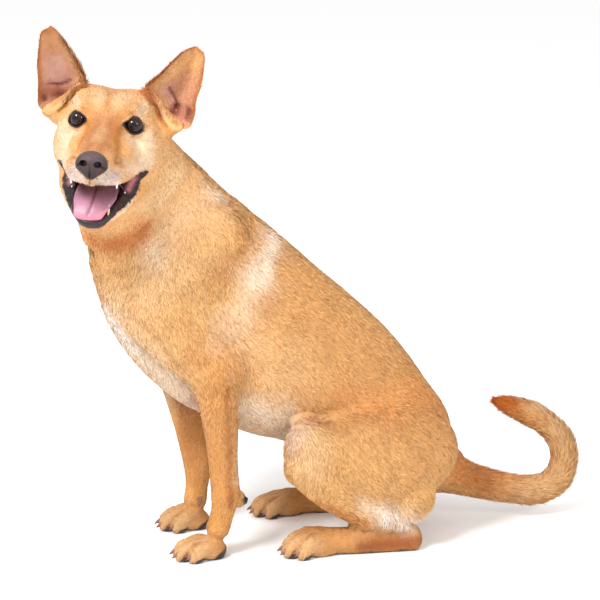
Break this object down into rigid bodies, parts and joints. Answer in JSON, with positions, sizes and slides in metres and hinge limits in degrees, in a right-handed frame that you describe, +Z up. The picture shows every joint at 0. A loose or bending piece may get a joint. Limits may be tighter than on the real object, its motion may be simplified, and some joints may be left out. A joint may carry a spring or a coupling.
{
  "type": "sitting dog, medium short-coated mixed breed",
  "caption": "Still life-size model of a medium tan short-coated dog, sitting, head turned to its left, ears up, mouth open with tongue showing and tail curled up behind.",
  "frame": {"origin": "middle of the footprint box, on the floor that the dog sits on", "axes": "+Z up, -X the way the body faces, -Y the dog's left side"},
  "size_m": [0.744, 0.315, 0.7047],
  "materials": {
    "coat": "short dense fur, satin",
    "eye": "wet, clear and glossy over a dark brown iris",
    "nose_leather": "pebbled, slightly moist",
    "tongue": "moist, finely grained",
    "claw_horn": "brown horn, worn satin"
  },
  "bodies": {
    "root": {"dewclaw_left": "claw_horn", "dewclaw_right": "claw_horn", "ear_left": "coat", "ear_right": "coat", "eye_left": "eye", "eye_right": "eye", "fore_claw_left_1": "claw_horn", "fore_claw_left_2": "claw_horn", "fore_claw_left_3": "claw_horn", "fore_claw_left_4": "claw_horn", "fore_claw_right_1": "claw_horn", "fore_claw_right_2": "claw_horn", "fore_claw_right_3": "claw_horn", "fore_claw_right_4": "claw_horn", "fore_paw_left": "coat", "fore_paw_right": "coat", "foreleg_left": "coat", "foreleg_right": "coat", "head": "coat", "hind_claw_left_1": "claw_horn", "hind_claw_left_2": "claw_horn", "hind_claw_left_3": "claw_horn", "hind_claw_left_4": "claw_horn", "hind_claw_right_1": "claw_horn", "hind_claw_right_2": "claw_horn", "hind_claw_right_3": "claw_horn", "hind_claw_right_4": "claw_horn", "hind_foot_left": "coat", "hind_foot_right": "coat", "hind_paw_left": "coat", "hind_paw_right": "coat", "jaw": "coat", "neck": "coat", "nose": "nose_leather", "shank_left": "coat", "shank_right": "coat", "tail_base": "coat", "tail_middle": "coat", "tail_tip": "coat", "thigh_left": "coat", "thigh_right": "coat", "tongue": "tongue", "torso": "coat"}
  },
  "joints": []
}
